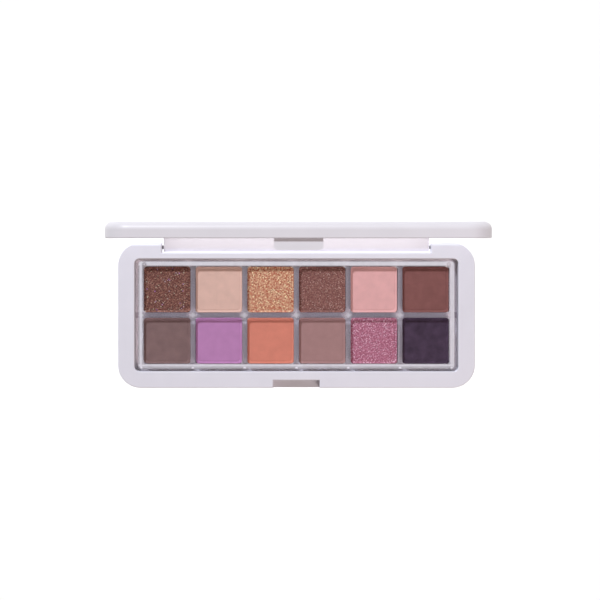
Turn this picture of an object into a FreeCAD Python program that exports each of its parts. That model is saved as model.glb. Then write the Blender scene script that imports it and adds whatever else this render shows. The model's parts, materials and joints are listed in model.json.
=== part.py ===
import FreeCAD, Part
import math
import os

import Sketcher
from FreeCAD import Rotation, Vector

# Hinged eyeshadow palette with twelve pans, standing open. Millimetres.
# Origin: centre of the base's underside. +X right, +Y towards the hinge, +Z up.
# The lid's pieces are drawn closed, about the hinge line, and turned open by their Placement.

SIZES = {
    # base shell
    "base_width": 146.0,
    "base_depth": 59.5,
    "base_height": 7.0,
    "corner_radius": 9.4,
    "foot_round": 0.6,
    "edge_round": 0.4,
    "overshoot": 1.0,
    "embed": 0.2,
    "window_width": 132.4,
    "window_depth": 46.0,
    "window_radius": 2.0,
    # hollow underside of the base shell: two side channels and two front ones
    "channel_top": 5.4,
    "channel_radius": 0.8,
    "side_channel_width": 3.2,
    "side_channel_depth": 38.0,
    "side_channel_x": 69.3,
    "front_channel_width": 48.0,
    "front_channel_depth": 2.8,
    "front_channel_x": 36.0,
    "front_channel_y": 26.0,
    # bottom plate and its label
    "plate_width": 142.6,
    "plate_depth": 51.6,
    "plate_radius": 7.5,
    "plate_shift": 2.05,
    "plate_thickness": 1.2,
    "plate_clearance": 0.1,
    "plate_headroom": 0.05,
    "label_width": 60.0,
    "label_depth": 24.0,
    "label_radius": 2.0,
    "label_thickness": 0.12,
    "label_clearance": 0.1,
    # hinge
    "hinge_y": 27.9,
    "hinge_z": 3.1,
    "back_round_ease": 0.1,
    "barrel_radius": 1.85,
    "leaf_width": 109.0,
    "hinge_notch_width": 110.4,
    "hinge_notch_depth": 4.2,
    "pin_radius": 0.75,
    "pin_length": 20.0,
    "pin_end_x": 67.6,
    "pin_chamfer": 0.2,
    "pin_running_gap": 0.05,
    "barrel_bore_depth": 8.0,
    "lid_angle": 87.2,
    # latch: notch and nub on the base, tongue on the lid
    "latch_notch_width": 19.0,
    "latch_notch_depth": 3.1,
    "latch_notch_drop": 4.6,
    "nub_width": 5.5,
    "nub_tip_width": 4.1,
    "nub_reach": 0.7,
    "nub_bottom": 3.9,
    "nub_height": 1.8,
    "tongue_width": 18.4,
    "tongue_thickness": 1.3,
    "tongue_recess": 1.5,
    "tongue_drop": 4.4,
    "tongue_radius": 1.2,
    "tongue_root": 0.6,
    "tongue_groove_width": 6.5,
    "tongue_groove_depth": 0.55,
    # clear tray
    "tray_width": 131.9,
    "tray_depth": 45.5,
    "tray_radius": 1.8,
    "tray_bottom": 1.25,
    "flange_top": 4.6,
    "tray_top": 6.3,
    "block_width": 129.6,
    "block_depth": 44.0,
    "block_radius": 1.5,
    "block_round": 0.3,
    "cell_width": 19.25,
    "cell_depth": 19.0,
    "cell_radius": 1.3,
    "cell_floor": 2.1,
    "cell_round": 0.25,
    "pitch_x": 21.2,
    "pitch_y": 21.0,
    "peg_radius": 0.6,
    "peg_height": 0.15,
    "peg_x": 62.35,
    "peg_y": 20.7,
    "gusset_radius": 0.6,
    "gusset_height": 0.9,
    "snap_width": 5.0,
    "snap_thickness": 0.4,
    "snap_height": 0.8,
    "snap_radius": 0.15,
    "snap_x": 23.3,
    # pans, powders and the glue under them
    "pan_width": 19.05,
    "pan_depth": 18.8,
    "pan_radius": 1.2,
    "pan_wall": 0.3,
    "pan_height": 2.1,
    "glue_radius": 4.5,
    "glue_thickness": 0.15,
    "powder_top": 4.62,
    "powder_lip_width": 0.9,
    "powder_lip_height": 0.2,
    "powder_middle_radius": 1.5,
    # lid
    "lid_gap": 0.15,
    "lid_thickness": 6.25,
    "lid_round": 3.0,
    "lid_wall": 3.4,
    "lid_back_wall": 4.2,
    "lid_panel": 1.6,
    "cavity_radius": 5.0,
    "liner_recess": 0.4,
    "liner_thickness": 2.0,
    "liner_clearance": 0.1,
    "liner_round": 0.3,
    "rib_width": 1.0,
    "rib_spacing": 23.0,
    "rib_gap": 0.1,
    "mirror_width": 128.0,
    "mirror_depth": 44.0,
    "mirror_radius": 3.0,
    "mirror_thickness": 1.2,
    "mirror_chamfer": 0.3,
    "mirror_set_back": 0.15,
    "mirror_clearance": 0.15,
    "tape_thickness": 0.15,
    "tape_margin": 3.0,
}
COLUMNS = 6
ROWS = 2
RIB_COUNT = 5
TOLERANCE = 1e-4

doc = FreeCAD.newDocument("EyeshadowPalette")
sheet = doc.addObject("Spreadsheet::Sheet", "Sizes")
for row, (alias, size) in enumerate(SIZES.items(), start=1):
    sheet.set(f"A{row}", alias)
    sheet.set(f"B{row}", str(size))
    sheet.setAlias(f"B{row}", alias)
doc.recompute()


def bound(expression):
    """An expression in the sheet's aliases, as setExpression wants it."""
    for alias in sorted(SIZES, key=len, reverse=True):
        expression = expression.replace(alias, alias.upper())
    for alias in sorted(SIZES, key=len, reverse=True):
        expression = expression.replace(alias.upper(), f"Sizes.{alias}")
    return expression


def value(expression):
    """The number that an expression in the sheet's aliases comes to."""
    return float(sheet.evalExpression(bound(expression)))


def new_body(label):
    body = doc.addObject("PartDesign::Body", label)
    body.Label = label
    return body


def origin_feature(body, role):
    """One of the body's own origin planes or axes, such as XY_Plane."""
    return next(f for f in body.Origin.OriginFeatures if f.Role == role)


def new_sketch(body, name, plane="XY_Plane", x="0", y="0", height="0"):
    """An empty sketch on an origin plane, shifted in the plane by x, y and off it by height."""
    sketch = body.newObject("Sketcher::SketchObject", name)
    sketch.AttachmentSupport = (origin_feature(body, plane), [""])
    sketch.MapMode = "FlatFace"
    for axis, shift in (("x", x), ("y", y), ("z", height)):
        sketch.setExpression(f"AttachmentOffset.Base.{axis}", bound(shift))
    return sketch


def constrain(sketch, name, kind, *target, size):
    """A named dimension of the sketch, tied to the sheet."""
    index = sketch.addConstraint(Sketcher.Constraint(kind, *target, value(size)))
    sketch.renameConstraint(index, name)
    sketch.setExpression(f"Constraints.{name}", bound(size))


def rounded_rectangle(sketch, width, depth, radius):
    """Four lines and four tangent arcs, centred on the sketch's origin."""
    half_x = value(width) / 2
    half_y = value(depth) / 2
    bend = value(radius)
    in_x = half_x - bend
    in_y = half_y - bend
    quarter = FreeCAD.Units.Quantity("90 deg").getValueAs("rad").Value
    lines = [
        (Vector(-in_x, -half_y), Vector(in_x, -half_y)),
        (Vector(half_x, -in_y), Vector(half_x, in_y)),
        (Vector(in_x, half_y), Vector(-in_x, half_y)),
        (Vector(-half_x, in_y), Vector(-half_x, -in_y)),
    ]
    centres = [Vector(in_x, -in_y), Vector(in_x, in_y), Vector(-in_x, in_y), Vector(-in_x, -in_y)]
    for start, end in lines:
        sketch.addGeometry(Part.LineSegment(start, end), False)
    for turn, centre in enumerate(centres, start=-1):
        circle = Part.Circle(centre, Vector(0, 0, 1), bend)
        sketch.addGeometry(Part.ArcOfCircle(circle, turn * quarter, (turn + 1) * quarter), False)
    for side in range(4):
        sketch.addConstraint(Sketcher.Constraint("Tangent", side, 2, 4 + side, 1))
        sketch.addConstraint(Sketcher.Constraint("Tangent", 4 + side, 2, (side + 1) % 4, 1))
    for side, kind in enumerate(("Horizontal", "Vertical", "Horizontal", "Vertical")):
        sketch.addConstraint(Sketcher.Constraint(kind, side))
    for corner in (5, 6, 7):
        sketch.addConstraint(Sketcher.Constraint("Equal", 4, corner))
    sketch.addConstraint(Sketcher.Constraint("Symmetric", 4, 3, 6, 3, -1, 1))
    constrain(sketch, "bend", "Radius", 4, size=radius)
    constrain(sketch, "across", "DistanceX", 3, 1, 1, 1, size=width)
    constrain(sketch, "along", "DistanceY", 0, 1, 2, 1, size=depth)


def closed_outline(sketch, points):
    """A polygon through the points, each (x, y) a pair of expressions, every corner tied down."""
    corners = [Vector(value(x), value(y)) for x, y in points]
    count = len(corners)
    for here in range(count):
        sketch.addGeometry(Part.LineSegment(corners[here], corners[(here + 1) % count]), False)
    for here in range(count):
        sketch.addConstraint(Sketcher.Constraint("Coincident", here, 2, (here + 1) % count, 1))
    for here, (x, y) in enumerate(points):
        for axis, kind, place in (("x", "DistanceX", x), ("y", "DistanceY", y)):
            name = f"corner_{here}_{axis}"
            if value(place) < 0:
                constrain(sketch, name, kind, here, 1, -1, 1, size=f"-({place})")
            else:
                constrain(sketch, name, kind, -1, 1, here, 1, size=place)


def circle_sketch(sketch, radius):
    sketch.addGeometry(Part.Circle(Vector(0, 0), Vector(0, 0, 1), value(radius)), False)
    sketch.addConstraint(Sketcher.Constraint("Coincident", 0, 3, -1, 1))
    constrain(sketch, "bend", "Radius", 0, size=radius)


def extrude(body, kind, sketch, length, side="One side", reverse=False):
    """A Pad or a Pocket of the sketch. Pads must add volume and pockets must remove it."""
    before = body.Shape.Volume if body.Shape.Solids else 0.0
    feature = body.newObject(f"PartDesign::{kind}", f"{sketch.Name}{kind}")
    feature.Profile = sketch
    feature.SideType = side
    feature.Reversed = reverse
    feature.setExpression("Length", bound(length))
    sketch.Visibility = False
    doc.recompute()
    change = body.Shape.Volume - before
    if change <= 0 if kind == "Pad" else change >= 0:
        raise RuntimeError(f"{feature.Name} changed the volume by {change:.3f}")
    return feature


def pad(body, sketch, length, **how):
    return extrude(body, "Pad", sketch, length, **how)


def pocket(body, sketch, length, **how):
    return extrude(body, "Pocket", sketch, length, **how)


def plate(body, name, width, depth, radius, thickness, **place):
    """A flat rounded slab, thickness upwards from its sketch."""
    sketch = new_sketch(body, name, **place)
    rounded_rectangle(sketch, width, depth, radius)
    return pad(body, sketch, thickness)


def recess(body, name, width, depth, radius, thickness, upward=False, **place):
    """A rounded recess, cut down from its sketch, or up with upward=True."""
    sketch = new_sketch(body, name, **place)
    rounded_rectangle(sketch, width, depth, radius)
    return pocket(body, sketch, thickness, reverse=upward)


def dress(body, kind, name, size, wanted):
    """A Fillet or Chamfer of every edge of the body that the test picks."""
    base = body.Tip
    names = [f"Edge{i}" for i, edge in enumerate(base.Shape.Edges, start=1) if wanted(edge)]
    feature = body.newObject(f"PartDesign::{kind}", name)
    feature.Base = (base, names)
    feature.setExpression("Radius" if kind == "Fillet" else "Size", bound(size))
    doc.recompute()
    return feature


def lies_at(height):
    """A test for edges that lie flat at one height, given as an expression."""
    level = value(height)
    return lambda edge: max(abs(edge.BoundBox.ZMin - level), abs(edge.BoundBox.ZMax - level)) < TOLERANCE


def mirror_across_middle(body, name, originals):
    """Repeats features on the other side of the YZ plane."""
    mirrored = body.newObject("PartDesign::Mirrored", name)
    mirrored.Originals = originals
    mirrored.MirrorPlane = (origin_feature(body, "YZ_Plane"), [""])
    body.Tip = mirrored
    doc.recompute()
    return mirrored


def repeat(body, name, original, along_x, along_y=None):
    """Repeats a feature in rows: along_x and along_y are each (how many, distance to the last)."""
    rows = body.newObject("PartDesign::LinearPattern", name)
    rows.Originals = [original]
    rows.Direction = (origin_feature(body, "X_Axis"), [""])
    rows.Occurrences = along_x[0]
    rows.setExpression("Length", bound(along_x[1]))
    if along_y:
        rows.Direction2 = (origin_feature(body, "Y_Axis"), [""])
        rows.Occurrences2 = along_y[0]
        rows.setExpression("Length2", bound(along_y[1]))
    body.Tip = rows
    doc.recompute()
    return rows


def place_at(item, x="0", y="0", z="0"):
    for axis, place in (("x", x), ("y", y), ("z", z)):
        item.setExpression(f"Placement.Base.{axis}", bound(place))


def hang_on_hinge(item):
    """Turns a piece of the lid, drawn closed about the hinge line, to its open place."""
    item.Placement.Rotation = Rotation(Vector(-1, 0, 0), SIZES["lid_angle"])
    item.setExpression("Placement.Rotation.Angle", bound("lid_angle * 1 deg"))
    place_at(item, y="hinge_y", z="hinge_z")


def round_back_edge(body):
    """Rounds the back top edge about a line above the hinge, so that the lid's rim clears it."""
    centre_drop = "(base_depth / 2 - hinge_y)"
    bend = f"({centre_drop} + back_round_ease)"
    sketch = new_sketch(body, "BackRound", plane="YZ_Plane", x="hinge_y", y="base_height")
    drop, radius = value(centre_drop), value(bend)
    start = math.asin(drop / radius)
    circle = Part.Circle(Vector(0, -drop), Vector(0, 0, 1), radius)
    sketch.addGeometry(Part.ArcOfCircle(circle, 0, start), False)
    top = circle.value(start)
    past = value("overshoot")
    corners = [(top.x, 0), (top.x, past), (radius + past, past), (radius + past, -drop),
               (radius, -drop)]
    for start, end in zip(corners, corners[1:]):
        sketch.addGeometry(Part.LineSegment(Vector(*start), Vector(*end)), False)
    for line in (1, 2, 3):
        sketch.addConstraint(Sketcher.Constraint("Coincident", line, 2, line + 1, 1))
    sketch.addConstraint(Sketcher.Constraint("Coincident", 0, 2, 1, 1))
    sketch.addConstraint(Sketcher.Constraint("Coincident", 4, 2, 0, 1))
    sketch.addConstraint(Sketcher.Constraint("PointOnObject", 0, 2, -1))
    sketch.addConstraint(Sketcher.Constraint("PointOnObject", 0, 3, -2))
    for line, kind in ((1, "Vertical"), (2, "Horizontal"), (3, "Vertical"), (4, "Horizontal")):
        sketch.addConstraint(Sketcher.Constraint(kind, line))
    constrain(sketch, "bend", "Radius", 0, size=bend)
    constrain(sketch, "drop", "DistanceY", 0, 3, -1, 1, size=centre_drop)
    sketch.addConstraint(Sketcher.Constraint("Horizontal", 0, 3, 0, 1))
    constrain(sketch, "above", "DistanceY", 1, 1, 1, 2, size="overshoot")
    constrain(sketch, "behind", "DistanceX", 4, 2, 4, 1, size="overshoot")
    pocket(body, sketch, "base_width", side="Symmetric")


def make_base_frame():
    body = new_body("base_frame")
    plate(body, "Outline", "base_width", "base_depth", "corner_radius", "base_height")
    dress(body, "Fillet", "FootRound", "foot_round", lies_at("0"))
    recess(body, "Window", "window_width", "window_depth", "window_radius", "base_height",
           height="base_height")

    hinge_notch = new_sketch(body, "HingeNotch", height="base_height")
    back = "base_depth / 2"
    closed_outline(hinge_notch, [
        ("-hinge_notch_width / 2", f"{back} - hinge_notch_depth"),
        ("hinge_notch_width / 2", f"{back} - hinge_notch_depth"),
        ("hinge_notch_width / 2", f"{back} + overshoot"),
        ("-hinge_notch_width / 2", f"{back} + overshoot"),
    ])
    pocket(body, hinge_notch, "base_height")

    latch_notch = new_sketch(body, "LatchNotch", height="base_height")
    notch_wall = "-base_depth / 2 + latch_notch_depth"
    closed_outline(latch_notch, [
        ("-latch_notch_width / 2", "-base_depth / 2 - overshoot"),
        ("latch_notch_width / 2", "-base_depth / 2 - overshoot"),
        ("latch_notch_width / 2", notch_wall),
        ("-latch_notch_width / 2", notch_wall),
    ])
    pocket(body, latch_notch, "latch_notch_drop")
    dress(body, "Fillet", "TopRound", "edge_round", lies_at("base_height"))
    round_back_edge(body)

    recess(body, "PlateRebate", "plate_width + 2 * plate_clearance",
           "plate_depth + 2 * plate_clearance", "plate_radius", "plate_thickness + plate_headroom",
           upward=True, y="-plate_shift")
    side = recess(body, "SideChannel", "side_channel_width", "side_channel_depth",
                  "channel_radius", "channel_top", upward=True, x="-side_channel_x")
    front = recess(body, "FrontChannel", "front_channel_width", "front_channel_depth",
                   "channel_radius", "channel_top", upward=True,
                   x="-front_channel_x", y="-front_channel_y")
    mirror_across_middle(body, "OtherChannels", [side, front])

    bore = new_sketch(body, "PinBore", plane="YZ_Plane", x="hinge_y", y="hinge_z")
    circle_sketch(bore, "pin_radius")
    pocket(body, bore, "base_width", side="Symmetric")

    nub = new_sketch(body, "Nub", height="nub_bottom")
    closed_outline(nub, [
        ("-nub_tip_width / 2", f"{notch_wall} - nub_reach"),
        ("nub_tip_width / 2", f"{notch_wall} - nub_reach"),
        ("nub_width / 2", notch_wall),
        ("nub_width / 2", f"{notch_wall} + embed"),
        ("-nub_width / 2", f"{notch_wall} + embed"),
        ("-nub_width / 2", notch_wall),
    ])
    pad(body, nub, "nub_height")
    return body


def make_base_bottom():
    body = new_body("base_bottom")
    plate(body, "Outline", "plate_width", "plate_depth", "plate_radius", "plate_thickness",
          y="-plate_shift")
    recess(body, "LabelRecess", "label_width + 2 * label_clearance",
           "label_depth + 2 * label_clearance", "label_radius", "label_thickness", upward=True)
    return body


def make_bottom_label():
    body = new_body("bottom_label")
    plate(body, "Outline", "label_width", "label_depth", "label_radius", "label_thickness")
    return body


def make_clear_tray():
    body = new_body("clear_tray")
    plate(body, "Flange", "tray_width", "tray_depth", "tray_radius", "flange_top - tray_bottom",
          height="tray_bottom")
    plate(body, "Block", "block_width", "block_depth", "block_radius", "tray_top - flange_top",
          height="flange_top")
    dress(body, "Fillet", "BlockRound", "block_round", lies_at("tray_top"))
    cell = recess(body, "Cell", "cell_width", "cell_depth", "cell_radius",
                  "tray_top - cell_floor", height="tray_top",
                  x=f"-pitch_x * {(COLUMNS - 1) / 2}", y=f"-pitch_y * {(ROWS - 1) / 2}")
    repeat(body, "Cells", cell, (COLUMNS, f"pitch_x * {COLUMNS - 1}"),
           (ROWS, f"pitch_y * {ROWS - 1}"))

    block_edge = value("(block_width - block_radius) / 2")
    block_side = value("(block_depth - block_radius) / 2")
    on_top = lies_at("tray_top")

    def is_cell_rim(edge):
        box = edge.BoundBox
        inside_x = max(abs(box.XMin), abs(box.XMax)) < block_edge
        inside_y = max(abs(box.YMin), abs(box.YMax)) < block_side
        return on_top(edge) and inside_x and inside_y

    dress(body, "Fillet", "CellRound", "cell_round", is_cell_rim)

    gusset = new_sketch(body, "Gusset", height="flange_top - embed",
                        x=f"-pitch_x * {COLUMNS / 2}", y="-block_depth / 2")
    circle_sketch(gusset, "gusset_radius")
    first_gusset = pad(body, gusset, "gusset_height + embed")
    repeat(body, "Gussets", first_gusset, (COLUMNS + 1, f"pitch_x * {COLUMNS}"), (2, "block_depth"))

    peg = new_sketch(body, "Peg", height="tray_top - embed", x="-peg_x", y="-peg_y")
    circle_sketch(peg, "peg_radius")
    first_peg = pad(body, peg, "peg_height + embed")
    repeat(body, "Pegs", first_peg, (2, "2 * peg_x"), (2, "2 * peg_y"))

    snap_y = "((tray_depth - snap_thickness) / 2)"
    snap = new_sketch(body, "Snap", height="flange_top - embed", x="-snap_x", y=f"-{snap_y}")
    rounded_rectangle(snap, "snap_width", "snap_thickness", "snap_radius")
    first_snap = pad(body, snap, "snap_height + embed")
    repeat(body, "Snaps", first_snap, (2, "2 * snap_x"), (2, f"2 * {snap_y}"))
    return body


def make_pan(label, x, y):
    body = new_body(label)
    plate(body, "Outside", "pan_width", "pan_depth", "pan_radius", "pan_height")
    recess(body, "Inside", "pan_width - 2 * pan_wall", "pan_depth - 2 * pan_wall",
           "pan_radius - pan_wall", "pan_height - pan_wall", height="pan_height")
    place_at(body, x, y, "cell_floor + glue_thickness")
    return body


def make_powder(label, x, y):
    """A pressed cake that fills its pan and laps over the rim, with a lip round a flat middle."""
    bottom = "cell_floor + glue_thickness + pan_wall"
    filling = "pan_height - pan_wall"
    top = f"powder_top - ({bottom})"
    body = new_body(label)
    plate(body, "Cake", "pan_width - 2 * pan_wall", "pan_depth - 2 * pan_wall",
          "pan_radius - pan_wall", filling)
    plate(body, "Cap", "pan_width", "pan_depth", "pan_radius", f"{top} - ({filling})",
          height=filling)
    recess(body, "Middle", "pan_width - 2 * powder_lip_width",
           "pan_depth - 2 * powder_lip_width", "powder_middle_radius", "powder_lip_height",
           height=top)
    place_at(body, x, y, bottom)
    return body


def make_pan_glue(places):
    """One round dot of glue under each pan, as one group of separate solids."""
    dots = []
    for number, (x, y) in enumerate(places, start=1):
        dot = doc.addObject("Part::Cylinder", f"GlueDot{number:02d}")
        dot.setExpression("Radius", bound("glue_radius"))
        dot.setExpression("Height", bound("glue_thickness"))
        place_at(dot, x, y, "cell_floor")
        dots.append(dot)
    group = doc.addObject("Part::Compound", "pan_glue")
    group.Label = "pan_glue"
    group.Links = dots
    return group


def make_hinge_pin(label, direction):
    """A wire pin that runs from an outer corner inwards, through the base into the barrel."""
    body = new_body(label)
    wire = new_sketch(body, "Wire", plane="YZ_Plane", x="hinge_y", y="hinge_z",
                      height=f"{direction} * (pin_end_x - pin_length / 2)")
    circle_sketch(wire, "pin_radius")
    pad(body, wire, "pin_length", side="Symmetric")
    dress(body, "Chamfer", "Ends", "pin_chamfer", lambda edge: abs(edge.BoundBox.XLength) < TOLERANCE)
    return body


# heights in the lid's own frame, which has the hinge line at zero
RIM = "(base_height + lid_gap - hinge_z)"
LINER_FACE = f"({RIM} + liner_recess)"
LINER_BACK = f"({LINER_FACE} + liner_thickness)"
PANEL = f"({RIM} + lid_thickness - lid_panel)"
MIRROR_FACE = f"({LINER_FACE} + mirror_set_back)"
MIRROR_BACK = f"({MIRROR_FACE} + mirror_thickness)"
CAVITY_WIDTH = "(base_width - 2 * lid_wall)"
CAVITY_DEPTH = "(base_depth - lid_wall - lid_back_wall)"
CAVITY_Y = "((lid_wall - lid_back_wall) / 2 - hinge_y)"


def make_lid_shell():
    body = new_body("lid_shell")
    plate(body, "Outline", "base_width", "base_depth", "corner_radius", "lid_thickness",
          y="-hinge_y", height=RIM)
    dress(body, "Fillet", "LidRound", "lid_round", lies_at(f"{RIM} + lid_thickness"))
    dress(body, "Fillet", "RimRound", "edge_round", lies_at(RIM))
    recess(body, "Cavity", CAVITY_WIDTH, CAVITY_DEPTH, "cavity_radius",
           "lid_thickness - lid_panel", upward=True, y=CAVITY_Y, height=RIM)

    rib = new_sketch(body, "Rib", height=f"{LINER_BACK} + rib_gap",
                     x=f"-rib_spacing * {(RIB_COUNT - 1) / 2}", y=CAVITY_Y)
    half_rib = "rib_width / 2"
    half_run = f"{CAVITY_DEPTH} / 2 + embed"
    closed_outline(rib, [
        (f"-{half_rib}", f"-({half_run})"),
        (half_rib, f"-({half_run})"),
        (half_rib, half_run),
        (f"-{half_rib}", half_run),
    ])
    first_rib = pad(body, rib, f"{PANEL} - {LINER_BACK} - rib_gap + embed")
    repeat(body, "Ribs", first_rib, (RIB_COUNT, f"rib_spacing * {RIB_COUNT - 1}"))

    leaf = new_sketch(body, "Leaf", plane="YZ_Plane")
    radius = value("barrel_radius")
    top = value(f"{RIM} + overshoot")
    leaf.addGeometry(Part.LineSegment(Vector(radius, 0), Vector(radius, top)), False)
    leaf.addGeometry(Part.LineSegment(Vector(radius, top), Vector(-radius, top)), False)
    leaf.addGeometry(Part.LineSegment(Vector(-radius, top), Vector(-radius, 0)), False)
    half_turn = FreeCAD.Units.Quantity("180 deg").getValueAs("rad").Value
    barrel = Part.Circle(Vector(0, 0), Vector(0, 0, 1), radius)
    leaf.addGeometry(Part.ArcOfCircle(barrel, half_turn, 2 * half_turn), False)
    for first, second in ((0, 1), (1, 2)):
        leaf.addConstraint(Sketcher.Constraint("Coincident", first, 2, second, 1))
    leaf.addConstraint(Sketcher.Constraint("Tangent", 2, 2, 3, 1))
    leaf.addConstraint(Sketcher.Constraint("Tangent", 3, 2, 0, 1))
    leaf.addConstraint(Sketcher.Constraint("Vertical", 0))
    leaf.addConstraint(Sketcher.Constraint("Horizontal", 1))
    leaf.addConstraint(Sketcher.Constraint("Coincident", 3, 3, -1, 1))
    constrain(leaf, "bend", "Radius", 3, size="barrel_radius")
    constrain(leaf, "reach", "DistanceY", 0, 1, 0, 2, size=f"{RIM} + overshoot")
    pad(body, leaf, "leaf_width", side="Symmetric")
    half_leaf = value("leaf_width") / 2
    rim_level = value(RIM) - TOLERANCE

    def is_leaf_end(edge):
        box = edge.BoundBox
        at_end = abs(abs(box.XMin) - half_leaf) < TOLERANCE and box.XLength < TOLERANCE
        return at_end and box.ZMax < rim_level

    dress(body, "Fillet", "LeafEndRound", "edge_round", is_leaf_end)

    bore = new_sketch(body, "BarrelBore", plane="YZ_Plane", height="leaf_width / 2")
    circle_sketch(bore, "pin_radius + pin_running_gap")
    first_bore = pocket(body, bore, "barrel_bore_depth")
    mirror_across_middle(body, "OtherBore", [first_bore])

    tongue_front = "(-base_depth / 2 + tongue_recess - hinge_y)"
    tongue = new_sketch(body, "Tongue", plane="XZ_Plane", height=f"-{tongue_front}",
                        y=f"{RIM} - tongue_drop / 2 + tongue_root")
    rounded_rectangle(tongue, "tongue_width", "tongue_drop + 2 * tongue_root", "tongue_radius")
    pad(body, tongue, "tongue_thickness", reverse=True)
    shoulder = new_sketch(body, "TongueShoulder", plane="XZ_Plane", height=f"-{tongue_front}")
    closed_outline(shoulder, [
        ("-tongue_width / 2", f"{RIM} - overshoot"),
        ("tongue_width / 2", f"{RIM} - overshoot"),
        ("tongue_width / 2", f"{RIM} + overshoot"),
        ("-tongue_width / 2", f"{RIM} + overshoot"),
    ])
    pad(body, shoulder, "tongue_thickness", reverse=True)
    groove = new_sketch(body, "TongueGroove", plane="XZ_Plane",
                        height=f"-({tongue_front} + tongue_thickness)")
    closed_outline(groove, [
        ("-tongue_groove_width / 2", f"{RIM} - tongue_drop - overshoot"),
        ("tongue_groove_width / 2", f"{RIM} - tongue_drop - overshoot"),
        ("tongue_groove_width / 2", f"{RIM} - tongue_root"),
        ("-tongue_groove_width / 2", f"{RIM} - tongue_root"),
    ])
    pocket(body, groove, "tongue_groove_depth", reverse=True)
    hang_on_hinge(body)
    return body


def make_lid_liner():
    body = new_body("lid_liner")
    plate(body, "Panel", f"{CAVITY_WIDTH} - 2 * liner_clearance",
          f"{CAVITY_DEPTH} - 2 * liner_clearance", "cavity_radius", "liner_thickness",
          y=CAVITY_Y, height=LINER_FACE)
    dress(body, "Fillet", "FaceRound", "liner_round", lies_at(LINER_FACE))
    recess(body, "MirrorSeat", "mirror_width + 2 * mirror_clearance",
           "mirror_depth + 2 * mirror_clearance", "mirror_radius + mirror_clearance",
           "mirror_set_back + mirror_thickness + tape_thickness", upward=True,
           y=CAVITY_Y, height=LINER_FACE)
    hang_on_hinge(body)
    return body


def make_mirror():
    body = new_body("mirror")
    plate(body, "Glass", "mirror_width", "mirror_depth", "mirror_radius", "mirror_thickness",
          y=CAVITY_Y, height=MIRROR_FACE)
    dress(body, "Chamfer", "Edge", "mirror_chamfer", lies_at(MIRROR_FACE))
    hang_on_hinge(body)
    return body


def make_mirror_tape():
    body = new_body("mirror_tape")
    plate(body, "Sheet", "mirror_width - 2 * tape_margin", "mirror_depth - 2 * tape_margin",
          "mirror_radius", "tape_thickness", y=CAVITY_Y, height=MIRROR_BACK)
    hang_on_hinge(body)
    return body


def cell_places():
    """Cell centres, from the back row's left end, as expressions."""
    places = []
    for row in range(ROWS):
        for column in range(COLUMNS):
            x = f"pitch_x * {column - (COLUMNS - 1) / 2}"
            y = f"pitch_y * {(ROWS - 1) / 2 - row}"
            places.append((x, y))
    return places


places = cell_places()
nodes = [make_base_frame(), make_base_bottom(), make_bottom_label(), make_clear_tray()]
for number, (x, y) in enumerate(places, start=1):
    nodes.append(make_pan(f"pan_{number:02d}", x, y))
    nodes.append(make_powder(f"powder_{number:02d}", x, y))
nodes.append(make_pan_glue(places))
nodes.append(make_hinge_pin("hinge_pin_left", -1))
nodes.append(make_hinge_pin("hinge_pin_right", 1))
nodes += [make_lid_shell(), make_lid_liner(), make_mirror(), make_mirror_tape()]
doc.recompute()

failed = [item.Name for item in doc.Objects if {"Invalid", "Error"} & set(item.State)]
if failed:
    raise RuntimeError(f"failed objects: {failed}")
for node in nodes:
    if node.Shape.isNull() or not node.Shape.isValid() or not node.Shape.Solids:
        raise RuntimeError(f"{node.Label} has no valid solid")

os.makedirs("parts", exist_ok=True)
for node in nodes:
    node.Shape.exportStep(f"parts/{node.Label}.step")
    box = node.Shape.BoundBox
    print(f"{node.Label:16s} {len(node.Shape.Solids):2d} solid(s) {node.Shape.Volume:9.1f} mm3",
          f"x {box.XMin:.2f}..{box.XMax:.2f} y {box.YMin:.2f}..{box.YMax:.2f}",
          f"z {box.ZMin:.2f}..{box.ZMax:.2f}")
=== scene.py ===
import json
import math

import bpy
import numpy as np
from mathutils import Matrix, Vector


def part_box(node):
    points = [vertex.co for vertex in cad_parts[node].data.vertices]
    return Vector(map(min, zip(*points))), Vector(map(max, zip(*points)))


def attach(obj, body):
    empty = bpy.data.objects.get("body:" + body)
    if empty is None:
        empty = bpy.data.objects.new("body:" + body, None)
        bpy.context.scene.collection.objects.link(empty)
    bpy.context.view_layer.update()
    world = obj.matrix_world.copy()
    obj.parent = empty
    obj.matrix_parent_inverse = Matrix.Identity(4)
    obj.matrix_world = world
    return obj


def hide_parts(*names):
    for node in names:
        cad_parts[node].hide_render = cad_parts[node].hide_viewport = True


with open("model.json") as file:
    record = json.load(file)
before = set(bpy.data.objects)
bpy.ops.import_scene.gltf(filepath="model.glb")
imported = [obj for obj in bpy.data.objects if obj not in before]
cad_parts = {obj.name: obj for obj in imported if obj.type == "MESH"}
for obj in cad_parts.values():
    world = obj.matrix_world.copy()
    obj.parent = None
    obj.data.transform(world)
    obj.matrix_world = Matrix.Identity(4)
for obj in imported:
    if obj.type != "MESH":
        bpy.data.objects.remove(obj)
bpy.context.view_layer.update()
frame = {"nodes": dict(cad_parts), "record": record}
nodes = frame["nodes"]
record = frame["record"]
slot_of = {sub["node"]: sub["material_slot"] for sub in record["subparts"]}
scene = bpy.context.scene
scene.view_settings.view_transform = "Standard"

MM = 0.001
base_low, base_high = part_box("base_frame")

# ---------------------------------------------------------------- camera

CAMERA_HEIGHT = 584 * MM  # over the top of the base
CAMERA_X = -9.4 * MM
CAMERA_Y = 6.2 * MM


def make_camera():
    """Straight above the open palette, a little left of its middle."""
    data = bpy.data.cameras.new("camera")
    data.sensor_width = 36.0
    data.lens = 85.7
    data.shift_x = 0.0442
    data.clip_start = 0.05
    data.clip_end = 10.0
    camera = bpy.data.objects.new("camera", data)
    camera.location = (CAMERA_X, CAMERA_Y, base_high.z + CAMERA_HEIGHT)
    scene.collection.objects.link(camera)
    scene.camera = camera


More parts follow.
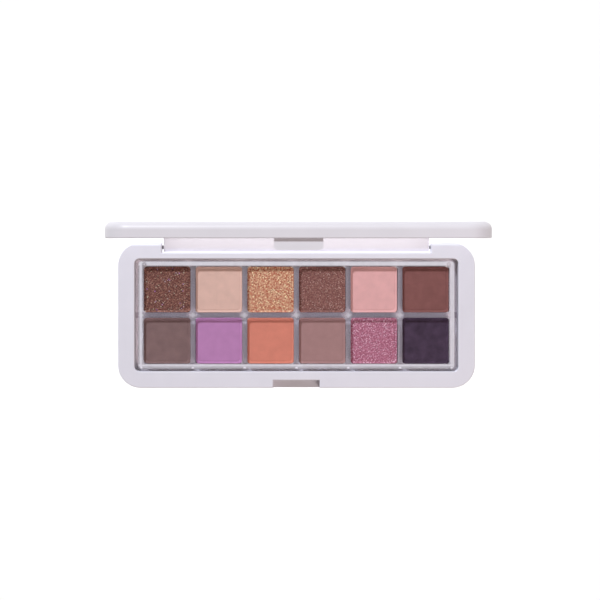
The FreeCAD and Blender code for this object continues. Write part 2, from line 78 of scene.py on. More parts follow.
# ---------------------------------------------------------------- studio

FLOOR_HALF = 3.0
FLOOR_GAP = 0.05 * MM
WORLD_COLOUR = (1.0, 0.84, 0.77)
WORLD_STRENGTH = 0.20
# the strip that stands for the light the mirror throws down on the foot of the lid
BOUNCE_Y = 29.8 * MM
BOUNCE_HEIGHT = 11.5 * MM
BOUNCE_SIZE = (112 * MM, 6 * MM)
BOUNCE_POWER = 0.0029


def make_world():
    """A weak warm light from all round."""
    world = bpy.data.worlds.new("studio")
    world.use_nodes = True
    background = world.node_tree.nodes["Background"]
    background.inputs["Color"].default_value = (*WORLD_COLOUR, 1.0)
    background.inputs["Strength"].default_value = WORLD_STRENGTH
    scene.world = world


def make_floor():
    """A plain table top just under the base."""
    mesh = bpy.data.meshes.new("floor")
    corners = [(-1, -1), (1, -1), (1, 1), (-1, 1)]
    mesh.from_pydata([(x * FLOOR_HALF, y * FLOOR_HALF, 0) for x, y in corners], [], [(0, 1, 2, 3)])
    floor = bpy.data.objects.new("floor", mesh)
    floor.location.z = base_low.z - FLOOR_GAP
    floor.data.materials.append(floor_material())
    scene.collection.objects.link(floor)
    return floor


def group(name, items):
    """A collection that only serves to link lamps to what they light or shade."""
    collection = bpy.data.collections.new(name)
    for item in items:
        collection.objects.link(item)
    return collection


def add_lamp(name, place, size, power, colour, lights, shaders,
             aim=(0.0, 0.0, 0.0), glossy=True):
    """A soft lamp for one group of pieces, with its shadows thrown by another group.

    size is (diameter,) for a disk or (width, depth) for a strip.
    """
    data = bpy.data.lights.new(name, "AREA")
    data.shape = "RECTANGLE" if len(size) > 1 else "DISK"
    data.size = size[0]
    data.size_y = size[-1]
    data.energy = power
    data.color = colour
    lamp = bpy.data.objects.new(name, data)
    lamp.location = place
    lamp.rotation_euler = (Vector(aim) - Vector(place)).to_track_quat("-Z", "Y").to_euler()
    lamp.visible_camera = False
    lamp.visible_transmission = False
    lamp.visible_glossy = glossy
    lamp.light_linking.receiver_collection = lights
    lamp.light_linking.blocker_collection = shaders
    scene.collection.objects.link(lamp)


def make_studio():
    """Floor, world and lamps; returns the groups that the base's powders also belong to."""
    make_world()
    floor = group("floor_only", [make_floor()])
    bodies = record["behaviour"]["bodies"]
    base = group("base_pieces", [nodes[name] for name in bodies["base"]])
    lid = group("lid_pieces", [nodes[name] for name in bodies["lid"]])
    opaque_names = [name for name in bodies["base"] if name != "clear_tray"]
    opaque = group("opaque_pieces", [nodes[name] for name in opaque_names])

    add_lamp("floor_wash", place=(0.0, 0.0, 2.2), size=(2.5,), power=58.0,
             colour=(0.97, 0.99, 1.0), lights=floor, shaders=floor)
    # the lid would shade the whole tray from the key, so only the base throws that shadow
    add_lamp("key", place=(-0.60, 1.29, 1.08), size=(0.27,), power=30.5,
             colour=(0.82, 0.90, 1.0), lights=base, shaders=base)
    add_lamp("lid_key", place=(-0.46, 1.02, 1.18), size=(0.26,), power=20.0,
             colour=(0.90, 0.95, 1.0), lights=lid, shaders=lid)
    add_lamp("fill", place=(0.20, -0.28, 0.40), size=(0.20,), power=0.74,
             colour=(1.0, 0.86, 0.83), lights=base, shaders=opaque)
    add_lamp("lid_fill", place=(0.28, -0.16, 0.42), size=(0.20,), power=0.60,
             colour=(1.0, 0.90, 0.90), lights=lid, shaders=floor)
    # low enough that the closed lid hides it
    add_lamp("bounce", place=(0.0, BOUNCE_Y, BOUNCE_HEIGHT), size=BOUNCE_SIZE,
             power=BOUNCE_POWER, colour=(1.0, 0.99, 1.0), lights=lid, shaders=floor,
             aim=(0.0, BOUNCE_Y, 0.0), glossy=False)
    return base, opaque


# ---------------------------------------------------------------- materials


class Graph:
    """Short calls for one material's nodes, around one Principled shader."""

    def __init__(self, name, **settings):
        self.material = bpy.data.materials.new(name)
        self.material.use_nodes = True
        self.nodes = self.material.node_tree.nodes
        self.links = self.material.node_tree.links
        self.shader = self.nodes["Principled BSDF"]
        self.output = self.nodes["Material Output"]
        for socket, number in settings.items():
            self.shader.inputs[socket.replace("_", " ")].default_value = number
        self.place = self.nodes.new("ShaderNodeTexCoord").outputs["Object"]

    def add(self, kind, inputs=None, **properties):
        """A shader node of the given kind, its inputs linked to sockets or set to values."""
        node = self.nodes.new("ShaderNode" + kind)
        for key, setting in properties.items():
            setattr(node, key, setting)
        for socket, source in (inputs or {}).items():
            if isinstance(source, bpy.types.NodeSocket):
                self.links.new(source, node.inputs[socket])
            else:
                node.inputs[socket].default_value = source
        return node

    def noise(self, grain_mm, detail=2.0, roughness=0.5):
        """Noise whose lumps are about grain_mm across, from 0 to 1."""
        inputs = {"Vector": self.place, "Scale": 1 / (grain_mm * MM), "Detail": detail,
                  "Roughness": roughness}
        return self.add("TexNoise", inputs).outputs["Fac"]

    def ramp(self, source, *stops):
        """A colour ramp; each stop is (position, (r, g, b))."""
        node = self.add("ValToRGB", {"Fac": source})
        while len(node.color_ramp.elements) < len(stops):
            node.color_ramp.elements.new(0.5)
        for element, (position, colour) in zip(node.color_ramp.elements, stops):
            element.position = position
            element.color = (*colour, 1.0)
        return node.outputs["Color"]

    def spread(self, source, low, high):
        """The source, from 0 to 1, stretched to run from low to high."""
        node = self.add("MapRange", {"Value": source, "To Min": low, "To Max": high})
        return node.outputs["Result"]

    def split(self, source):
        """The X, Y and Z of a vector."""
        return self.add("SeparateXYZ", {"Vector": source}).outputs

    def calc(self, operation, *inputs):
        """One operation of the Math node on numbers or sockets."""
        return self.add("Math", dict(enumerate(inputs)), operation=operation).outputs[0]

    def size_of(self, source):
        """The source without its sign."""
        return self.calc("ABSOLUTE", source)

    def more(self, source, limit):
        """1 where the source is over the limit, 0 elsewhere."""
        return self.calc("GREATER_THAN", source, limit)

    def less(self, source, limit):
        """1 where the source is under the limit, 0 elsewhere."""
        return self.calc("LESS_THAN", source, limit)

    def more_of(self, first, second):
        """The greater of the two."""
        return self.calc("MAXIMUM", first, second)

    def times(self, first, second):
        """The product of the two."""
        return self.calc("MULTIPLY", first, second)

    def plus(self, first, second):
        """The sum of the two."""
        return self.calc("ADD", first, second)

    def rest_of(self, share):
        """What a share leaves of one."""
        return self.calc("SUBTRACT", 1.0, share)

    def profile(self, source, *stops):
        """A length looked up in a list of (mm, level) stops."""
        start, end = stops[0][0], stops[-1][0]
        limits = {"Value": source, "From Min": start * MM, "From Max": end * MM}
        share = self.add("MapRange", limits).outputs["Result"]
        levels = [((mm - start) / (end - start), (level,) * 3) for mm, level in stops]
        return self.ramp(share, *levels)

    def bump(self, source, height_mm, after=None):
        """A surface roughened by the source, on top of another bump if one is given."""
        inputs = {"Height": source, "Distance": height_mm * MM, "Strength": 1.0}
        if after:
            inputs["Normal"] = after
        return self.add("Bump", inputs).outputs["Normal"]

    def feed(self, **sources):
        """Links sockets to the shader's inputs by name and returns the finished material."""
        for socket, source in sources.items():
            self.links.new(source, self.shader.inputs[socket.replace("_", " ")])
        return self.material


def srgb(*channels):
    """Linear colour from the 0 to 255 numbers of a colour picker."""
    shares = [channel / 255 for channel in channels]
    return tuple(((share + 0.055) / 1.055) ** 2.4 if share > 0.04045 else share / 12.92
                 for share in shares)


def scaled(colour, factor):
    """The colour made lighter or darker, kept under full white."""
    return tuple(min(1.0, channel * factor) for channel in colour)


def floor_material():
    """Plain white table top with the faintest unevenness."""
    graph = Graph("studio_floor", Roughness=0.9)
    tone = graph.ramp(graph.noise(400, 1), (0.0, (0.93,) * 3), (1.0, (0.96,) * 3))
    return graph.feed(Base_Color=tone)


def white_plastic():
    """Satin white moulding: cool tint, faint clouds, fine spark-eroded grain."""
    graph = Graph("white_plastic", IOR=1.5)
    tint = srgb(232, 229, 235)
    cloud = graph.ramp(graph.noise(9, 3), (0.3, scaled(tint, 0.985)), (0.7, scaled(tint, 1.01)))
    sheen = graph.spread(graph.noise(0.6, 4), 0.36, 0.44)
    grain = graph.bump(graph.noise(0.12, 3, 0.6), 0.0016)
    return graph.feed(Base_Color=cloud, Roughness=sheen, Normal=grain)


# the tray from its middle: just outside its block of cells, where its rim starts, half the
# spacing of the dividers and half of a divider's width
BLOCK_X = 64.9 * MM
BLOCK_Y = 22.1 * MM
RIM_X = 62 * MM
RIM_Y = 20.2 * MM
HALF_PITCH = 10.6 * MM
DIVIDER_HALF = 1.15 * MM
# flat faces above this height are the tray's top
TOP_LEVEL = 6.0 * MM
# the walls of the middle divider let light through up to this height
LIT_WALL_TOP = 5.28 * MM
LIT_WALL_REACH = 3 * MM
# the least part of a normal along Z for a flat face, or along Y for one that faces the cells
FLAT_SLOPE = 0.5
FACING_SLOPE = 0.7

# haze and painted light of the tray's top face: how much of it each part has, and where it lies, as
# stops of (millimetres from the middle, or from the nearest mark or crossing; share of the haze)
RIM_HAZE = 0.78
# painted glow: milky haze put where the dividers cross, standing for the light that gathers there
CROSSING_GLOW = 0.60
DIVIDER_HAZE = 0.12
# the rim's stops are partly real milky haze and partly painted light: painted highlights along the
# edges of its top, and painted shade towards its front edge
RIM_HAZE_AND_LIGHT_ACROSS = [(-64.9, 0.0), (-64.5, 0.35), (-64.1, 1.0), (-63.3, 1.0), (-62.9, 0.0),
              (62.5, 0.0), (63.1, 1.0), (63.7, 0.75), (64.4, 1.0), (64.9, 0.5)]
RIM_HAZE_AND_LIGHT_ALONG = [(-22.3, 0.35), (-21.4, 0.5), (-20.5, 1.05), (-20.2, 1.0), (-20.0, 0.0),
             (20.1, 0.0), (20.4, 1.0), (21.7, 1.0), (22.1, 0.4)]
# how far the painted glow at each crossing reaches
CROSSING_GLOW_REACH = [(0.0, 1.0), (1.0, 0.8), (2.3, 0.0)]
# painted highlights: bright dots along the front of the rim, one at each divider, put in as milky
# haze
GLINT_DOTS_ACROSS = [(0.0, 1.0), (0.5, 0.8), (1.0, 0.0)]
GLINT_DOTS_ALONG = [(-22.3, 0.9), (-21.2, 0.9), (-20.9, 0.0)]
# clear ring marks of the mould's ejector pins, near the two back corners
MARK_PLACE = (62.3 * MM, 20.75 * MM, 0.0)
MARK_RING = [(0.0, 0.0), (0.35, 0.0), (0.5, 1.0), (0.72, 1.0), (0.9, 0.0)]

# tints of clear plastic, of the painted shade along the dividers, and of milky plastic (also used
# for painted highlights)
GLASS_TINT = (0.95, 0.93, 0.96)
DIVIDER_SHADE_TINT = (0.69, 0.65, 0.71)
MILKY_TINT = (0.84, 0.82, 0.86)
UPRIGHT_SHADE = 0.75

# what shadow rays keep: at the walls, at clear faces, and how clear each top face counts
WALL_SHADE = (0.06, 0.04, 0.035)
CLEAR_SHADE = (0.94, 0.94, 0.95)
TOP_GLOW = 0.35
RIM_GLOW = 0.12
FLANGE_GLOW = 0.9


def tray_spot(graph):
    """Where a point of the tray lies: its place, lengths from the middle and how it faces."""
    place = graph.split(graph.place)
    normal = graph.split(graph.add("NewGeometry").outputs["Normal"])
    flat = graph.more(graph.size_of(normal["Z"]), FLAT_SLOPE)
    return {
        "x": place["X"],
        "y": place["Y"],
        "z": place["Z"],
        "across": graph.size_of(place["X"]),
        "along": graph.size_of(place["Y"]),
        "from_divider": graph.calc("PINGPONG", place["X"], HALF_PITCH),
        "flat": flat,
        "top": graph.times(graph.more(place["Z"], TOP_LEVEL), flat),
        "facing": graph.more(graph.size_of(normal["Y"]), FACING_SLOPE),
    }


def tray_haze(graph, spot):
    """How milky the tray's top face is, and how much the rim and the crossings have of that: real
    haze, plus painted highlights along the rim's edges, at the crossings and in dots along the
    front, and painted shade towards the rim's front edge.
    """
    rim = graph.more_of(graph.profile(spot["x"], *RIM_HAZE_AND_LIGHT_ACROSS),
                        graph.profile(spot["y"], *RIM_HAZE_AND_LIGHT_ALONG))
    crossing_glow = graph.profile(graph.plus(spot["from_divider"], spot["along"]), *CROSSING_GLOW_REACH)
    corner = graph.add("CombineXYZ", {0: spot["across"], 1: spot["y"]}).outputs[0]
    reach = graph.add("VectorMath", {0: corner, 1: MARK_PLACE}, operation="DISTANCE")
    mark = graph.profile(reach.outputs["Value"], *MARK_RING)
    rim = graph.times(rim, graph.rest_of(mark))
    glint_dots = graph.times(graph.profile(spot["from_divider"], *GLINT_DOTS_ACROSS),
                       graph.profile(spot["y"], *GLINT_DOTS_ALONG))
    level = graph.more_of(graph.times(rim, RIM_HAZE), graph.times(crossing_glow, CROSSING_GLOW))
    level = graph.more_of(graph.more_of(level, glint_dots), DIVIDER_HAZE)
    scuffs = graph.spread(graph.noise(1.8, 3), 0.85, 1.15)
    haze = graph.times(spot["top"], graph.times(level, scuffs))
    return haze, rim, crossing_glow


def tray_tint(graph, spot, haze, crossing_glow):
    """Clear plastic, with painted shade darkening it along the dividers, and pale where it is milky
    or carries painted highlights.
    """
    middle = graph.times(graph.less(spot["along"], DIVIDER_HALF), graph.rest_of(crossing_glow))
    divider = graph.less(spot["from_divider"], DIVIDER_HALF)
    upright = graph.times(graph.times(divider, graph.less(spot["across"], RIM_X)), UPRIGHT_SHADE)
    shaded = graph.times(graph.more_of(middle, upright), graph.less(spot["along"], RIM_Y))
    glassy = graph.ramp(shaded, (0.0, GLASS_TINT), (1.0, DIVIDER_SHADE_TINT))
    milky = {"Fac": haze, "Color1": glassy, "Color2": (*MILKY_TINT, 1.0)}
    return graph.add("MixRGB", milky).outputs["Color"]


def tray_shadow(graph, spot, rim):
    """A see-through shader for shadow rays: walls shade as real ones do by bending light."""
    low = graph.less(spot["z"], LIT_WALL_TOP)
    strip = graph.times(spot["facing"],
                        graph.times(low, graph.less(spot["along"], LIT_WALL_REACH)))
    flange = graph.more_of(graph.more(spot["across"], BLOCK_X),
                           graph.more(spot["along"], BLOCK_Y))
    level = graph.more_of(graph.spread(rim, TOP_GLOW, RIM_GLOW),
                          graph.times(flange, FLANGE_GLOW))
    top = graph.times(spot["flat"], level)
    passed = graph.ramp(graph.more_of(top, strip), (0.0, WALL_SHADE), (1.0, CLEAR_SHADE))
    return graph.add("BsdfTransparent", {"Color": passed}).outputs[0]


def clear_plastic():
    """Clear polystyrene, hazy on its rim and a little at the crossings of its dividers; part of
    that milky paint is painted highlights and glow, and the darker base colour along the dividers
    is painted shade.
    """
    graph = Graph("clear_plastic", IOR=1.49)
    spot = tray_spot(graph)
    haze, rim, crossing_glow = tray_haze(graph, spot)
    graph.feed(Base_Color=tray_tint(graph, spot, haze, crossing_glow),
               Roughness=graph.spread(graph.noise(1.2, 3), 0.02, 0.06),
               Transmission_Weight=graph.rest_of(haze),
               Normal=graph.bump(graph.noise(1.5, 2), 0.0004))

    rays = graph.add("LightPath").outputs["Is Shadow Ray"]
    window = tray_shadow(graph, spot, rim)
    mixed = graph.add("MixShader", {0: rays, 1: graph.shader.outputs[0], 2: window})
    graph.links.new(mixed.outputs[0], graph.output.inputs["Surface"])
    return graph.material


def pan_metal():
    """Pressed bright aluminium with faint draw lines."""
    graph = Graph("pan_metal", Metallic=1.0)
    tone = graph.ramp(graph.noise(2, 3), (0.3, (0.56, 0.55, 0.57)), (0.7, (0.66, 0.65, 0.67)))
    dull = graph.spread(graph.noise(0.3, 3), 0.60, 0.72)
    return graph.feed(Base_Color=tone, Roughness=dull, Normal=graph.bump(graph.noise(0.1), 0.002))


def pin_steel():
    """Drawn steel wire: lines along the pin, in a dark tone all over."""
    graph = Graph("pin_steel", Metallic=1.0)
    squash = graph.add("Mapping", {"Vector": graph.place, "Scale": (0.02, 1.0, 1.0)})
    lines = graph.add("TexNoise", {"Vector": squash.outputs[0], "Scale": 12000.0, "Detail": 2.0})
    tone = graph.ramp(lines.outputs["Fac"], (0.3, (0.20, 0.19, 0.19)), (0.7, (0.38, 0.37, 0.36)))
    dull = graph.spread(lines.outputs["Fac"], 0.25, 0.45)
    return graph.feed(Base_Color=tone, Roughness=dull)


def mirror_glass():
    """Silvered glass with the faintest haze of handling."""
    graph = Graph("mirror_glass", Metallic=1.0)
    tone = graph.ramp(graph.noise(30, 2), (0.0, (0.90, 0.92, 0.92)), (1.0, (0.94, 0.95, 0.95)))
    haze = graph.spread(graph.noise(14, 5), 0.0, 0.03)
    return graph.feed(Base_Color=tone, Roughness=haze)


def label_paper():
    """Blank matt label with the mottle of paper."""
    graph = Graph("label_paper", Roughness=0.7)
    tone = graph.ramp(graph.noise(0.5, 5), (0.2, srgb(226, 224, 222)), (0.8, srgb(240, 239, 237)))
    return graph.feed(Base_Color=tone, Normal=graph.bump(graph.noise(0.15, 4), 0.004))


def soft_filler(name, colour):
    """Foam tape or hot glue, both hidden inside."""
    graph = Graph(name, Roughness=0.8)
    tone = graph.ramp(graph.noise(0.4, 4), (0.2, scaled(colour, 0.85)), (0.8, colour))
    return graph.feed(Base_Color=tone, Normal=graph.bump(graph.noise(0.2, 3), 0.01))


GRAIN_SHARE = 0.65


def matte_powder(name, colour, contrast):
    """Pressed matte powder: soft, dry, with a fine grain, faint clouds and a breath of sheen."""
    graph = Graph(name, Roughness=0.95, Sheen_Weight=0.12, Sheen_Roughness=0.5,
                  Specular_IOR_Level=0.2)
    grain = graph.noise(0.26, 4, 0.7)
    cloud = graph.noise(3.5, 3)
    blend = graph.calc("MULTIPLY_ADD", grain, GRAIN_SHARE,
                       graph.spread(cloud, 0.0, 1 - GRAIN_SHARE))
    tone = graph.ramp(blend, (0.25, scaled(colour, 1 - contrast)),
                      (0.75, scaled(colour, 1 + contrast)))
    normal = graph.bump(grain, 0.012, after=graph.bump(graph.noise(0.5, 2), 0.006))
    return graph.feed(Base_Color=tone, Normal=normal)


def glitter_powder(name, stops, shine, dull, metal):
    """Pressed shimmer: every flake of the mesh takes its own tone and gloss."""
    graph = Graph(name, Specular_IOR_Level=0.6)
    flake = graph.add("Attribute", attribute_name="flake").outputs["Fac"]
    tone = graph.ramp(flake, *stops)
    gloss = graph.add("Attribute", attribute_name="gloss").outputs["Fac"]
    rough = graph.spread(gloss, dull, shine)
    metallic = graph.spread(gloss, 0.0, metal)
    normal = graph.bump(graph.noise(0.08, 3, 0.6), 0.004)
    return graph.feed(Base_Color=tone, Roughness=rough, Metallic=metallic, Normal=normal)


# ---------------------------------------------------------------- powders

# 01 to 06 are the back row, left to right, and 07 to 12 the front row
MATTE_COLOURS = {
    "powder_02": srgb(219, 181, 166),
    "powder_05": srgb(225, 171, 168),
    "powder_06": srgb(130, 84, 80),
    "powder_07": srgb(128, 102, 100),
    "powder_08": srgb(185, 130, 176),
    "powder_09": srgb(214, 132, 112),
    "powder_10": srgb(165, 127, 124),
    "powder_12": srgb(70, 54, 72),
}
# how far the grain goes from the main colour, and the powders where it goes further
MATTE_CONTRAST = 0.16
SPECKLED = {"powder_06": 0.28, "powder_07": 0.30, "powder_12": 0.85}
# flake size in mm, how much flakes lean, roughness of the glossiest (shine) and the plainest
# (dull), how metallic the glossiest are, and tones from the darkest flake to the brightest
GLITTERS = {
    "powder_01": dict(size=0.38, tilt=0.55, shine=0.3, dull=0.8, metal=0.5, stops=[
        (0.00, srgb(60, 28, 24)), (0.40, srgb(108, 61, 50)), (0.80, srgb(139, 88, 74)),
        (0.97, srgb(175, 128, 110)), (0.99, srgb(205, 190, 160)), (1.00, srgb(190, 110, 190))]),
    "powder_03": dict(size=0.44, tilt=0.45, shine=0.3, dull=0.7, metal=0.3, stops=[
        (0.00, srgb(146, 58, 32)), (0.22, srgb(188, 105, 73)), (0.60, srgb(204, 149, 118)),
        (0.88, srgb(222, 185, 146)), (1.00, srgb(252, 236, 190))]),
    "powder_04": dict(size=0.30, tilt=0.40, shine=0.3, dull=0.8, metal=0.3, stops=[
        (0.00, srgb(86, 44, 38)), (0.50, srgb(128, 78, 70)), (0.90, srgb(154, 104, 94)),
        (1.00, srgb(214, 172, 158))]),
    "powder_11": dict(size=0.36, tilt=0.42, shine=0.3, dull=0.7, metal=0.35, stops=[
        (0.00, srgb(132, 60, 86)), (0.45, srgb(174, 98, 122)), (0.85, srgb(200, 134, 156)),
        (1.00, srgb(242, 200, 216))]),
}
# the pressed edge, from the pan inwards: inset from the pan, corner radius, height over the flat
EDGE = [
    (0.00, 1.20, 0.10),
    (0.03, 1.20, 0.15),
    (0.10, 1.20, 0.19),
    (0.22, 1.22, 0.20),
    (0.34, 1.25, 0.18),
    (0.72, 1.38, -0.11),
    (0.80, 1.40, -0.13),
    (0.88, 1.42, -0.12),
    (1.14, 1.50, -0.02),
    (1.24, 1.50, 0.0),
]
LIP_HEIGHT = max(row[2] for row in EDGE)
# the cake's relief starts at one ring of the grid from its edge and is full at another
RELIEF_START = 1
RELIEF_FULL = 7

# in mm, each with a hair of clearance: the pan's wall, the top of its rim, the cake's foot
PAN_WALL = 0.34
PAN_TOP = 4.37
SEAT = 0.01

# in mm: the step of the top's grid, and relief as (height, size of its lumps)
MATTE_STEP = 0.3
GLITTER_STEP = 0.13
SOFT_RELIEF = (0.008, 2.5)
FINE_RELIEF = (0.004, 0.9)
FINE_SEED = 50
TILT_SCALE = 0.35
LIFT_RANGE = (-0.02, 0.03)
FLAKE_MARGIN = 2
NEIGHBOUR_WEIGHT = 0.14
TINY = 1e-9


def cake_grid(half_x, half_y, spacing):
    """Top of a pressed cake as a square grid bent to rounded corners: x, y and height in mm."""
    insets = np.array([row[0] for row in EDGE])
    inner = int(round(2 * (half_x - insets[-1]) / spacing))
    line_x = grid_line(half_x, insets, inner)
    line_y = grid_line(half_y, insets, inner)
    count = len(line_x)
    index = np.arange(count)
    ring_1d = np.minimum(index, count - 1 - index)
    ring = np.minimum(ring_1d[:, None], ring_1d[None, :])
    x = np.repeat(line_x[:, None], count, axis=1)
    y = np.repeat(line_y[None, :], count, axis=0)
    ring_x = np.abs(line_x)[ring]
    ring_y = np.abs(line_y)[ring]
    profile = np.minimum(ring, len(EDGE) - 1)
    bend = np.array([row[1] for row in EDGE])[profile]
    bend = np.minimum(bend, 0.9 * np.minimum(ring_x, ring_y) + TINY)
    height = np.array([row[2] for row in EDGE])[profile]
    turn_y = np.clip((np.abs(y) - (ring_y - bend)) / bend, 0, 1)
    turn_x = np.clip((np.abs(x) - (ring_x - bend)) / bend, 0, 1)
    on_x_side = np.abs(x) >= ring_x - TINY
    angle = np.where(on_x_side, turn_y, 2 - turn_x) * math.pi / 4
    corner = (turn_x > 0) & (turn_y > 0)
    x = np.where(corner, np.sign(x) * (ring_x - bend + bend * np.cos(angle)), x)
    y = np.where(corner, np.sign(y) * (ring_y - bend + bend * np.sin(angle)), y)
    return x, y, height, ring


def grid_line(half, insets, inner):
    """Grid positions from -half to half: the edge's insets, then even steps between."""
    reach = half - insets
    middle = np.linspace(-reach[-1], reach[-1], inner + 1)[1:-1]
    return np.concatenate([-reach, middle, reach[::-1]])


def waves(x, y, size, seed, count=24):
    """Smooth random relief of about the given lump size, from -1 to 1."""
    draw = np.random.default_rng(seed)
    total = np.zeros_like(x)
    for _ in range(count):
        heading = draw.uniform(0, 2 * math.pi)
        pitch = draw.uniform(0.7, 1.6) * 2 * math.pi / size
        shift = draw.uniform(0, 2 * math.pi)
        total += np.sin(pitch * (x * math.cos(heading) + y * math.sin(heading)) + shift)
    return total / math.sqrt(count)


def mixed_tones(shape, draw):
    """A tone from 0 to 1 for every flake, each one unlike its neighbours."""
    tones = draw.uniform(0, 1, shape)
    around = sum(np.roll(tones, step, axis) for step in (-1, 1) for axis in (0, 1))
    order = np.argsort(np.argsort((tones - NEIGHBOUR_WEIGHT * around).ravel()))
    return order.reshape(shape) / order.max()


class Flakes:
    """The flakes of one cake: one in each square of a grid, nudged, leaning and toned at random."""

    def __init__(self, half_x, half_y, glitter, seed):
        draw = np.random.default_rng(seed)
        self.size = glitter["size"]
        self.start_x = half_x
        self.start_y = half_y
        count_x = int(2 * half_x / self.size) + 2 * FLAKE_MARGIN
        count_y = int(2 * half_y / self.size) + 2 * FLAKE_MARGIN
        shape = (count_x, count_y)
        column, row = np.meshgrid(np.arange(count_x), np.arange(count_y), indexing="ij")
        nudge = draw.uniform(0, 1, (2, *shape))
        self.x = (column + nudge[0] - FLAKE_MARGIN) * self.size - half_x
        self.y = (row + nudge[1] - FLAKE_MARGIN) * self.size - half_y
        self.slope_x, self.slope_y = draw.normal(0, glitter["tilt"] * TILT_SCALE, (2, *shape))
        self.lift = draw.uniform(*LIFT_RANGE, shape)
        self.tone = mixed_tones(shape, draw)
        # squared, so that few flakes are glossy
        self.gloss = draw.uniform(0, 1, shape) ** 2

    def nearest(self, x, y):
        """Column and row of the flake nearest to each point."""
        column = np.floor((x + self.start_x) / self.size).astype(int) + FLAKE_MARGIN
        row = np.floor((y + self.start_y) / self.size).astype(int) + FLAKE_MARGIN
        limit_x, limit_y = self.x.shape
        best = np.full(x.shape, np.inf)
        found_x = np.zeros_like(column)
        found_y = np.zeros_like(row)
        for step_x in (-1, 0, 1):
            for step_y in (-1, 0, 1):
                i = np.clip(column + step_x, 0, limit_x - 1)
                j = np.clip(row + step_y, 0, limit_y - 1)
                gap = (x - self.x[i, j]) ** 2 + (y - self.y[i, j]) ** 2
                closer = gap < best
                best = np.where(closer, gap, best)
                found_x = np.where(closer, i, found_x)
                found_y = np.where(closer, j, found_y)
        return found_x, found_y

    def relief(self, x, y):
        """Height of the leaning flakes at each point, in mm."""
        near = self.nearest(x, y)
        tilt_x = (x - self.x[near]) * self.slope_x[near]
        tilt_y = (y - self.y[near]) * self.slope_y[near]
        return tilt_x + tilt_y + self.lift[near]

    def looks(self, x, y):
        """Tone and gloss of the flake at each point."""
        near = self.nearest(x, y)
        return {"flake": self.tone[near], "gloss": self.gloss[near]}


def cake_top(half_x, half_y, seed, flakes):
    """The grid of a cake's top with its relief: x, y and height in mm, and each point's ring."""
    x, y, height, ring = cake_grid(half_x, half_y, GLITTER_STEP if flakes else MATTE_STEP)
    inside = np.clip((ring - RELIEF_START) / (RELIEF_FULL - RELIEF_START), 0, 1)
    height = height + SOFT_RELIEF[0] * waves(x, y, SOFT_RELIEF[1], seed) * inside
    if flakes:
        height = height + flakes.relief(x, y) * inside
    else:
        height = height + FINE_RELIEF[0] * waves(x, y, FINE_RELIEF[1], seed + FINE_SEED) * inside
    return x, y, height, ring


def outline(count):
    """Indices of the points along the edge of a square grid, once round."""
    edge = [(i, 0) for i in range(count)]
    edge += [(count - 1, j) for j in range(1, count)]
    edge += [(i, count - 1) for i in range(count - 2, -1, -1)]
    edge += [(0, j) for j in range(count - 2, 0, -1)]
    return edge


def cake_shell(top, half_x, half_y, middle, foot):
    """Points and faces of a cake: its top first, then its edge, its foot in the pan, its base."""
    count = len(top)
    edge = outline(count)
    around = len(edge)
    rim = np.array([top[i, j] for i, j in edge])
    narrow = 1 - np.array([PAN_WALL / half_x, PAN_WALL / half_y])
    inner = middle + (rim[:, :2] - middle) * narrow
    rings = [(rim[:, :2], PAN_TOP * MM), (inner, PAN_TOP * MM), (inner, foot)]
    points = [tuple(point) for point in top.reshape(-1, 3)]
    for ring, level in rings:
        points += [(*point, level) for point in ring]

    starts = [i * count + j for i in range(count - 1) for j in range(count - 1)]
    faces = [(a, a + count, a + count + 1, a + 1) for a in starts]
    loops = [[i * count + j for i, j in edge]]
    for number in range(len(rings)):
        first = count * count + number * around
        loops.append(list(range(first, first + around)))
    for upper, lower in zip(loops, loops[1:]):
        for k in range(around):
            after = (k + 1) % around
            faces.append((upper[k], lower[k], lower[after], upper[after]))
    faces.append(tuple(reversed(loops[-1])))
    return points, faces


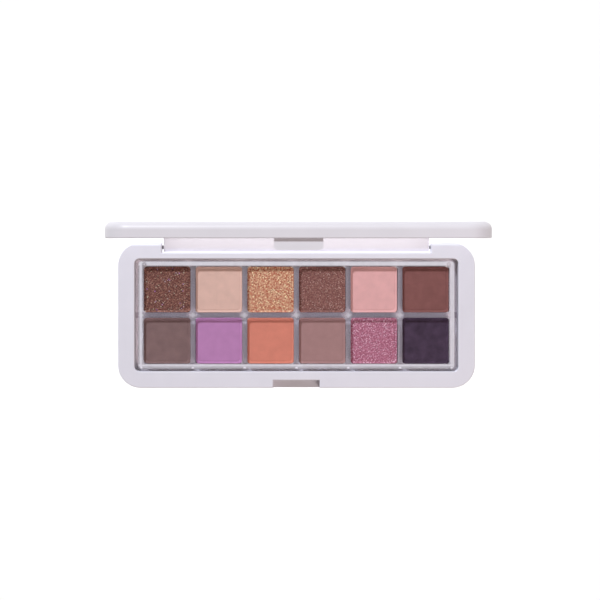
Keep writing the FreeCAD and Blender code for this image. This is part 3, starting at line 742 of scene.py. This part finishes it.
def cake_mesh(name, seed, glitter):
    """The powder of one pan, closed underneath, in the place of its plain solid."""
    low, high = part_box(name)
    centre = (low + high) / 2
    half_x = (high.x - low.x) / 2 / MM
    half_y = (high.y - low.y) / 2 / MM
    flat = high.z / MM - LIP_HEIGHT
    flakes = Flakes(half_x, half_y, glitter, seed) if glitter else None
    x, y, height, ring = cake_top(half_x, half_y, seed, flakes)
    top = np.stack([x * MM + centre.x, y * MM + centre.y, (flat + height) * MM], axis=-1)
    middle = np.array([centre.x, centre.y])
    points, faces = cake_shell(top, half_x, half_y, middle, low.z + SEAT * MM)

    mesh = bpy.data.meshes.new(name + "_cake")
    mesh.from_pydata(points, [], faces)
    mesh.validate()
    smooth = np.ones(len(mesh.polygons), dtype=bool)
    if flakes:
        flake_faces = (len(x) - 1) ** 2
        smooth[:flake_faces] = (ring[:-1, :-1] < RELIEF_FULL).ravel()
        looks = flakes.looks((x[:-1, :-1] + x[1:, 1:]) / 2, (y[:-1, :-1] + y[1:, 1:]) / 2)
        for attribute, numbers in looks.items():
            layer = mesh.attributes.new(attribute, "FLOAT", "FACE")
            data = np.zeros(len(mesh.polygons), dtype=np.float32)
            data[:flake_faces] = numbers.ravel()
            layer.data.foreach_set("value", data)
    mesh.polygons.foreach_set("use_smooth", smooth)
    mesh.update()
    piece = bpy.data.objects.new(name + "_cake", mesh)
    scene.collection.objects.link(piece)
    return piece


def make_powders(groups):
    """The twelve cakes with their materials, each added to the given groups of base pieces."""
    for number in range(1, 13):
        name = f"powder_{number:02d}"
        glitter = GLITTERS.get(name)
        piece = cake_mesh(name, number, glitter)
        if glitter:
            material = glitter_powder(slot_of[name], glitter["stops"], glitter["shine"],
                                      glitter["dull"], glitter["metal"])
        else:
            contrast = SPECKLED.get(name, MATTE_CONTRAST)
            material = matte_powder(slot_of[name], MATTE_COLOURS[name], contrast)
        piece.data.materials.append(material)
        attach(piece, "base")
        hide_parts(name)
        for collection in groups:
            collection.objects.link(piece)


# ---------------------------------------------------------------- put together


def dress_nodes():
    """Gives every carried-over piece the material of its slot."""
    finishes = {
        "white_plastic": white_plastic(),
        "clear_plastic": clear_plastic(),
        "pan_metal": pan_metal(),
        "pin_steel": pin_steel(),
        "mirror_glass": mirror_glass(),
        "label_paper": label_paper(),
        "tape_foam": soft_filler("tape_foam", srgb(228, 228, 224)),
        "glue_clear": soft_filler("glue_clear", srgb(222, 218, 200)),
    }
    for name, node in nodes.items():
        if slot_of[name] in finishes:
            node.data.materials.clear()
            node.data.materials.append(finishes[slot_of[name]])


make_camera()
lamp_groups = make_studio()
dress_nodes()
make_powders(lamp_groups)
